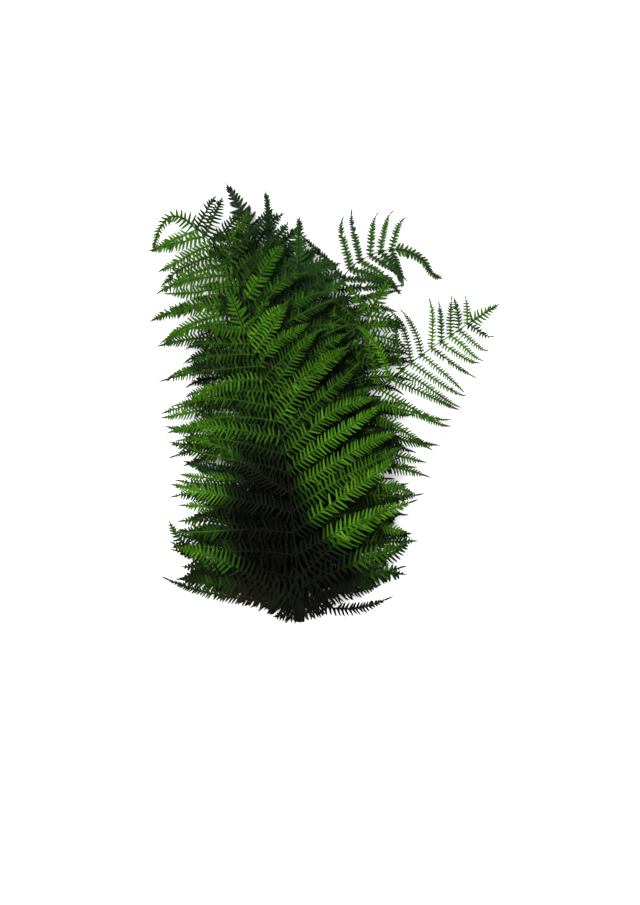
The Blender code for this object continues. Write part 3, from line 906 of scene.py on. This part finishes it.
def leaflets_piece(layer, stem):
    """The piece that holds all leaflets of a frond."""
    settings = bpy.context.scene.fern_leaflets
    leaflets, rng = leaflets_of(stem, settings)
    vertices = leaflet_vertices(layer, leaflets, settings, rng)
    count = len(vertices)
    faces = leaflet_faces(count)
    made = new_mesh(FRONDS[layer].name + "_leaflets", vertices.reshape(-1, 3), *faces, LEAFLET_SHARP_ANGLE)
    shares = np.concatenate([np.repeat(RING_SHARES, RING_SIDES), [1.0]])
    across = np.concatenate([np.tile([0.0, 0.5, 1.0, 0.5], len(RING_SHARES)), [0.5]])
    along = shares[None, :] * leaflets.length[:, None]
    uv_map(made.data, faces[0], np.tile(across, count), along.reshape(-1) / settings.length)
    # The tone attribute carries painted light and shade: the light by place, less the painted shade under the
    # fronds above, times each leaflet's own tone
    tone = painted_light_on(layer, leaflets.x, leaflets.y, settings) * (1.0 + leaflets.tone)
    point_attribute(made.data, "tone", np.repeat(np.clip(tone, 0.0, 1.0), LEAFLET_VERTICES))
    point_attribute(made.data, "bloom", np.repeat(leaflets.bloom, LEAFLET_VERTICES))
    dryness = eased(leaflets.rib_share, *DRY_ON_RIB)[:, None] * eased(shares, *DRY_ON_LEAFLET)[None, :]
    dryness = np.maximum(DRY_LEAFLET * dryness, withered_at(leaflets.x, leaflets.y)[:, None])
    point_attribute(made.data, "dryness", dryness.reshape(-1))
    return made


def tube_rings(x, y, z, heading, radius, sides, groove=0.0, flatness=1.0):
    """Rings round lines that run level: radius times (cos, flatness sin) of the angle, less a bell on top."""
    angle = np.arange(sides) * 2 * math.pi / sides
    thick = radius[..., None] * (1.0 - groove * bell(angle, math.pi / 2, GROOVE_WIDTH))
    return beside_line(x, y, z, heading, thick * np.cos(angle), thick * np.sin(angle) * flatness)


def tube_faces(tubes, rings, sides, first=0):
    """Quads between the rings of a number of tubes, and an end face at both ends."""
    ring = np.arange(sides)
    quads = ring_quads(rings, (ring + 1) % sides, ring)
    corners = np.concatenate([quads, ring, (rings - 1) * sides + ring[::-1]])
    sizes = np.array([4] * (len(quads) // 4) + [sides] * 2)
    starts = first + np.arange(tubes)[:, None] * rings * sides
    return (starts + corners).reshape(-1), np.tile(sizes, tubes)


def rib_rings_at(length):
    """Where a rib's rings stand, as shares of its length, and how wide they are against an even taper."""
    point = (POINT_LENGTH * np.minimum(1.0, length / SMALL_PINNA) / length)[:, None]
    even = np.linspace(0.0, 1.0, RIB_RINGS - len(POINT_PLACES) + 1)[None, :-1]
    share = np.hstack([even * (1.0 - point), 1.0 - point * (1.0 - POINT_PLACES)])
    return share, np.concatenate([np.ones(even.shape[1]), POINT_WIDTHS])[None, :]


def stem_piece(layer, stem):
    """The piece that holds a frond's stem and the ribs of its pinnae.

    Ribs and stem both end in a flat point, which is a little wider than the rib before it.
    """
    settings = bpy.context.scene.fern_leaflets
    distance = np.linspace(0.0, stem.length, STEM_RINGS)
    x, y, z, heading = stem.at(distance)
    from_end = (stem.length - distance) / POINT_LENGTH
    radius = stem.radius(distance) * np.interp(1.0 - from_end, POINT_PLACES, POINT_WIDTHS)
    stem_rings = tube_rings(x, y, np.maximum(z, radius), heading, radius, STEM_SIDES, GROOVE_DEPTH)
    pinnae = pinnae_of(stem, settings)
    share, widths = rib_rings_at(pinnae.length)
    rx, ry, rz, rheading = on_ribs(rib_lines(stem, pinnae), share)
    thin = np.clip(pinnae.length / SMALL_PINNA, LEAST_RIB, 1.0)[:, None] ** 0.5
    rradius = mix(*RIB_RADII, share) * thin * widths
    rib_z = np.maximum(rz - RIB_SINK, rradius * RIB_FLATNESS + TABLE_CLEARANCE)
    rib_rings = tube_rings(rx, ry, rib_z, rheading, rradius, RIB_SIDES, flatness=RIB_FLATNESS)
    stem_corners, stem_sizes = tube_faces(1, STEM_RINGS, STEM_SIDES)
    rib_corners, rib_sizes = tube_faces(len(pinnae.length), RIB_RINGS, RIB_SIDES, STEM_RINGS * STEM_SIDES)
    vertices = np.concatenate([stem_rings.reshape(-1, 3), rib_rings.reshape(-1, 3)])
    finish = np.concatenate([np.zeros(len(stem_sizes)), np.ones(len(rib_sizes))])
    finish[len(stem_sizes) - 2] = 2
    made = new_mesh(
        FRONDS[layer].name + "_stem", vertices, np.concatenate([stem_corners, rib_corners]),
        np.concatenate([stem_sizes, rib_sizes]), finish, STEM_SHARP_ANGLE,
    )
    # The stem and the ribs carry the painted light and shade of their place, each scaled by its own factor
    stem_tone = np.repeat(STEM_TONE * painted_light_on(layer, x, y, settings), STEM_SIDES)
    rib_tone = np.repeat(RIB_TONE * painted_light_on(layer, rx, ry, settings).reshape(-1), RIB_SIDES)
    point_attribute(made.data, "tone", np.concatenate([stem_tone, rib_tone]))
    stem_age = np.repeat(1.0 - STEM_GREENING * smooth(distance / stem.length / STEM_GREEN_SHARE), STEM_SIDES)
    rib_age = np.repeat(DRY_RIB * eased(share.reshape(-1), *DRY_RIB_RUN), RIB_SIDES)
    point_attribute(made.data, "dryness", np.concatenate([stem_age, rib_age]))
    return made


# Finishes


class Wiring:
    """Adds nodes to a tree. What an input gets is another node's socket, a number or a colour."""

    def __init__(self, tree):
        self.nodes = tree.nodes
        self.links = tree.links

    def feed(self, socket, value):
        """Links a socket, or sets it."""
        if hasattr(value, "is_linked"):
            self.links.new(value, socket)
        else:
            socket.default_value = (*value, 1.0) if socket.type == "RGBA" else value

    def node(self, kind, output, **values):
        """An output of a new node, with its inputs fed by name."""
        made = self.nodes.new("ShaderNode" + kind)
        for name, value in values.items():
            self.feed(made.inputs[name], value)
        return made.outputs[output]

    def math(self, operation, *values, clamp=False):
        node = self.nodes.new("ShaderNodeMath")
        node.operation = operation
        node.use_clamp = clamp
        for socket, value in zip(node.inputs, values):
            self.feed(socket, value)
        return node.outputs[0]

    def times(self, first, second, clamp=False):
        return self.math("MULTIPLY", first, second, clamp=clamp)

    def scaled(self, value, factor, offset, clamp=False):
        """value times factor, plus offset."""
        return self.math("MULTIPLY_ADD", value, factor, offset, clamp=clamp)

    def attribute(self, name):
        node = self.nodes.new("ShaderNodeAttribute")
        node.attribute_name = name
        return node.outputs["Fac"]

    def blend(self, share, low, high, way="MIX"):
        """Two colours mixed by the share."""
        node = self.nodes.new("ShaderNodeMix")
        node.data_type = "RGBA"
        node.blend_type = way
        self.feed(node.inputs["Factor"], share)
        for socket, value in zip([socket for socket in node.inputs if socket.type == "RGBA"], (low, high)):
            self.feed(socket, value)
        return next(socket for socket in node.outputs if socket.type == "RGBA")

    def ramp(self, value, stops):
        """A colour ramp of (place, colour) stops."""
        node = self.nodes.new("ShaderNodeValToRGB")
        self.links.new(value, node.inputs["Fac"])
        elements = node.color_ramp.elements
        while len(elements) < len(stops):
            elements.new(0.5)
        for element, (place, colour) in zip(elements, stops):
            element.position = place
            element.color = (*colour, 1.0)
        return node.outputs["Color"]

    def group(self, name, inputs, build, **values):
        """The outputs of a node group, which is built the first time, with other values than its own."""
        node = self.nodes.new("ShaderNodeGroup")
        node.node_tree = bpy.data.node_groups.get(name) or new_group(name, inputs, build)
        for socket_name, value in values.items():
            self.feed(node.inputs[socket_name], value)
        return node.outputs

    def mottle(self, blotches):
        """The mottle group, with its blotch scale."""
        inputs = {"Blotch Scale": 55.0, "Grain Scale": 1800.0}
        return self.group("Plant Mottle", inputs, mottle, **{"Blotch Scale": blotches})


def new_group(name, inputs, build):
    """A shader node group with inputs of given defaults. The build function returns what its outputs get."""
    group = bpy.data.node_groups.new(name, "ShaderNodeTree")
    for socket_name, default in inputs.items():
        socket = group.interface.new_socket(name=socket_name, in_out="INPUT", socket_type="NodeSocketFloat")
        socket.default_value = default
    wires = Wiring(group)
    outputs = build(wires, group.nodes.new("NodeGroupInput").outputs)
    for socket_name in outputs:
        group.interface.new_socket(name=socket_name, in_out="OUTPUT", socket_type="NodeSocketFloat")
    sink = group.nodes.new("NodeGroupOutput")
    for socket_name, value in outputs.items():
        wires.feed(sink.inputs[socket_name], value)
    return group


def mottle(wires, source):
    """Blotches of a few millimetres to centimetres and a fine grain, both from 0 to 1 round a half."""
    place = wires.node("TexCoord", "Object")
    return {
        "Blotch": wires.node("TexNoise", "Fac", Vector=place, Scale=source["Blotch Scale"], Detail=3.0),
        "Grain": wires.node("TexNoise", "Fac", Vector=place, Scale=source["Grain Scale"], Detail=2.0),
    }


def veins(wires, source):
    """The midrib's groove and the side veins that leave it forwards, from the leaflet's own map."""
    coordinates = wires.nodes.new("ShaderNodeUVMap")
    coordinates.uv_map = "leaf"
    parts = wires.nodes.new("ShaderNodeSeparateXYZ")
    wires.feed(parts.inputs["Vector"], coordinates.outputs["UV"])
    off = wires.math("ABSOLUTE", wires.math("SUBTRACT", parts.outputs["X"], 0.5))
    near = wires.math("DIVIDE", off, source["Midrib Width"])
    run = wires.math("SUBTRACT", parts.outputs["Y"], wires.times(off, 0.22))
    wave = wires.math("SINE", wires.times(wires.times(run, source["Veins"]), 2 * math.pi))
    return {
        "Midrib": wires.math("SUBTRACT", 1.0, near, clamp=True),
        "Vein": wires.math("POWER", wires.scaled(wave, 0.5, 0.5), 3.0),
    }


def finish(name, paint, *choices):
    """The material of that name. The first time, the paint function returns what its shader's inputs get."""
    if name in bpy.data.materials:
        return bpy.data.materials[name]
    material = bpy.data.materials.new(name)
    material.use_nodes = True
    skin = material.node_tree.nodes["Principled BSDF"]
    wires = Wiring(material.node_tree)
    for socket_name, value in paint(wires, *choices).items():
        wires.feed(skin.inputs[socket_name], value)
    return material


def green_by(wires, tone, colours):
    """Black to bright green by tone, a ramp that paints light and shade into the colour."""
    return wires.ramp(tone, [
        (0.0, colours.dark), (0.085, colours.shade), (0.3, colours.deep), (0.68, colours.green),
        (1.0, colours.bright),
    ])


def leaf(wires, bluish, below):
    """Leaf skin: green by the painted light and shade of its tone, blotched, with veins, a lighter midrib that
    carries a painted highlight, dry tips and a satin surface.
    """
    colours = bpy.context.scene.fern_finish
    spots = wires.mottle(55.0)
    lines = wires.group("Leaflet Veins", {"Veins": 16.0, "Midrib Width": 0.1}, veins)
    # The tone attribute is painted light and shade, and the blotches vary it at random
    tone = wires.times(wires.attribute("tone"), wires.scaled(spots["Blotch"], 0.36, 0.82), clamp=True)
    colour = green_by(wires, tone, colours)
    if bluish:
        colour = wires.blend(bluish, colour, colours.bluish)
    bloom = wires.times(wires.attribute("bloom"), tone, clamp=True)
    cover = wires.scaled(bloom, 0.55, 0.55 if below else 0.0, clamp=True)
    colour = wires.blend(cover, colour, wires.blend(tone, colours.shade, colours.underside))
    # A painted highlight: the midrib is screened with the bright green, more where the painted light is
    # stronger
    ridge = wires.times(wires.times(lines["Midrib"], tone), 0.34)
    colour = wires.blend(ridge, colour, colours.bright, "SCREEN")
    dry = wires.times(wires.attribute("dryness"), spots["Blotch"], clamp=True)
    groove = wires.times(lines["Midrib"], 1.0 if below else -1.0)
    height = wires.scaled(spots["Grain"], 0.45, wires.scaled(lines["Vein"], -0.35, groove))
    return {
        "Base Color": wires.blend(dry, colour, colours.dry),
        "Roughness": wires.scaled(spots["Blotch"], 0.25, 0.58 if below else 0.46),
        "Normal": wires.node("Bump", "Normal", Height=height, Strength=0.6, Distance=0.00018),
        "Specular IOR Level": 0.02,
    }


def stalk(wires, woody):
    """Stem skin: brown at the foot and greener up the frond, with long streaks, and brightened and darkened by
    the painted light and shade of its tone.
    """
    colours = bpy.context.scene.fern_finish
    spots = wires.mottle(160.0)
    tone = wires.attribute("tone")
    brown = wires.blend(tone, colours.shade, colours.stem if woody else colours.dry)
    share = wires.times(wires.attribute("dryness"), 0.85, clamp=True)
    colour = wires.blend(share, green_by(wires, tone, colours), brown)
    streak = wires.scaled(spots["Blotch"], 0.5 if woody else 0.2, 0.05)
    return {
        "Base Color": wires.blend(streak, colour, colours.shade),
        "Roughness": wires.scaled(spots["Grain"], 0.2, 0.5),
        "Normal": wires.node("Bump", "Normal", Height=spots["Grain"], Strength=0.5, Distance=0.00015),
        "Specular IOR Level": 0.03,
    }


def pith(wires):
    """The cut face of a stem: pale brown pith with darker specks."""
    colours = bpy.context.scene.fern_finish
    spots = wires.mottle(1500.0)
    return {
        "Base Color": wires.ramp(spots["Blotch"], (
            (0.3, colours.stem), (0.5, colours.dry), (0.8, colours.pith),
        )),
        "Roughness": wires.scaled(spots["Grain"], 0.2, 0.7),
    }


def pale_table(wires):
    """A matt pale table top with a faint cloudy tone."""
    place = wires.node("TexCoord", "Object")
    cloud = wires.node("TexNoise", "Fac", Vector=place, Scale=3.0, Detail=2.0)
    pale = bpy.context.scene.fern_stage.floor
    return {
        "Base Color": wires.blend(wires.times(cloud, 0.03), pale, (0.6, 0.6, 0.6)),
        "Roughness": 0.85,
        "Specular IOR Level": 0.1,
    }


# Pieces


def dress_frond(name):
    """Makes both pieces of a frond, gives them their finishes and puts them on the frame."""
    layer = [frond.name for frond in FRONDS].index(name)
    slot = FRONDS[layer].slot
    stem = StemPath(layer)
    dark = slot == "leaf_dark"
    leaves = leaflets_piece(layer, stem)
    rod = stem_piece(layer, stem)
    finishes = {
        leaves: [
            finish(slot + "_upper", leaf, 0.5 if dark else 0.0, False),
            finish(slot + "_under", leaf, 0.4 if dark else 0.0, True),
        ],
        rod: [finish("stem_skin", stalk, True), finish("rib_skin", stalk, False), finish("cut_pith", pith)],
    }
    for piece, materials in finishes.items():
        for material in materials:
            piece.data.materials.append(material)
        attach(piece, "root")
        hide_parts(name)


class FERN_OT_top_fronds(bpy.types.Operator):
    """Make the four dark fronds that reach the top of the bunch"""

    bl_idname = "fern.top_fronds"
    bl_label = "Top Fronds"

    def execute(self, context):
        for name in ("frond_top_thin", "frond_top_right", "frond_top_dark", "frond_top_middle"):
            dress_frond(name)
        return {"FINISHED"}


class FERN_OT_side_fronds(bpy.types.Operator):
    """Make the three fronds that lean out to the sides"""

    bl_idname = "fern.side_fronds"
    bl_label = "Side Fronds"

    def execute(self, context):
        for name in ("frond_right_shoulder", "frond_right", "frond_left"):
            dress_frond(name)
        return {"FINISHED"}


class FERN_OT_front_frond(bpy.types.Operator):
    """Make the frond that lies on top of all the others"""

    bl_idname = "fern.front_frond"
    bl_label = "Front Frond"

    def execute(self, context):
        dress_frond("frond_front")
        return {"FINISHED"}


class FERN_OT_stage(bpy.types.Operator):
    """Set the pale floor, the soft lights and the camera"""

    bl_idname = "fern.stage"
    bl_label = "Stage"

    def execute(self, context):
        scene = context.scene
        settings = scene.fern_stage
        corners = [(-TABLE_HALF, -TABLE_HALF, 0), (TABLE_HALF, -TABLE_HALF, 0)]
        corners += [(TABLE_HALF, TABLE_HALF, 0), (-TABLE_HALF, TABLE_HALF, 0)]
        plane = bpy.data.meshes.new("table_top")
        plane.from_pydata(corners, [], [(0, 1, 2, 3)])
        floor = placed("table_top", plane)
        plane.materials.append(finish("pale_table", pale_table))
        world = bpy.data.worlds.new("soft_light")
        world.use_nodes = True
        background = world.node_tree.nodes["Background"]
        background.inputs["Color"].default_value = (1.0, 1.0, 1.0, 1.0)
        background.inputs["Strength"].default_value = settings.sky
        scene.world = world
        table_only = bpy.data.collections.new("table_only")
        table_only.objects.link(floor)
        sun = bpy.data.lights.new("table_lamp", "SUN")
        sun.energy = settings.table_light
        sun.angle = math.radians(150)
        placed("table_lamp", sun).light_linking.receiver_collection = table_only
        key = bpy.data.lights.new("key_lamp", "AREA")
        key.size = KEY_SIZE
        key.energy = settings.key
        lamp = placed("key_lamp", key, KEY_PLACE)
        away_x, away_y = KEY_AIM[0] - KEY_PLACE[0], KEY_AIM[1] - KEY_PLACE[1]
        tilt = math.atan2(math.hypot(away_x, away_y), KEY_PLACE[2])
        lamp.rotation_euler = (tilt, 0.0, math.atan2(away_x, -away_y) + math.pi)
        eye = bpy.data.cameras.new("camera")
        eye.lens = settings.focal_length
        eye.sensor_width = 36.0
        scene.camera = placed("camera", eye, (*CAMERA_X_Y, settings.camera_height))
        scene.view_settings.view_transform = "Standard"
        return {"FINISHED"}


class FERN_PT_panel(bpy.types.Panel):
    """Lists the settings and the makers of the fern bunch"""

    bl_idname = "FERN_PT_panel"
    bl_label = "Preserved Fern"
    bl_space_type = "VIEW_3D"
    bl_region_type = "UI"
    bl_category = "Fern"

    def draw(self, context):
        layout = self.layout
        for group in (context.scene.fern_leaflets, context.scene.fern_finish, context.scene.fern_stage):
            box = layout.box()
            for name in group.bl_rna.properties.keys():
                if name not in ("rna_type", "name"):
                    box.prop(group, name)
        for maker in MAKERS:
            layout.operator(maker.bl_idname)


MAKERS = (FERN_OT_top_fronds, FERN_OT_side_fronds, FERN_OT_front_frond, FERN_OT_stage)
CLASSES = (LeafletSettings, FinishSettings, StageSettings, *MAKERS, FERN_PT_panel)


def register():
    for item in CLASSES:
        bpy.utils.register_class(item)
    bpy.types.Scene.fern_leaflets = PointerProperty(type=LeafletSettings)
    bpy.types.Scene.fern_finish = PointerProperty(type=FinishSettings)
    bpy.types.Scene.fern_stage = PointerProperty(type=StageSettings)


def unregister():
    del bpy.types.Scene.fern_stage
    del bpy.types.Scene.fern_finish
    del bpy.types.Scene.fern_leaflets
    for item in reversed(CLASSES):
        bpy.utils.unregister_class(item)


def main():
    register()
    bpy.ops.fern.top_fronds()
    bpy.ops.fern.side_fronds()
    bpy.ops.fern.front_frond()
    bpy.ops.fern.stage()


if __name__ == "__main__":
    main()
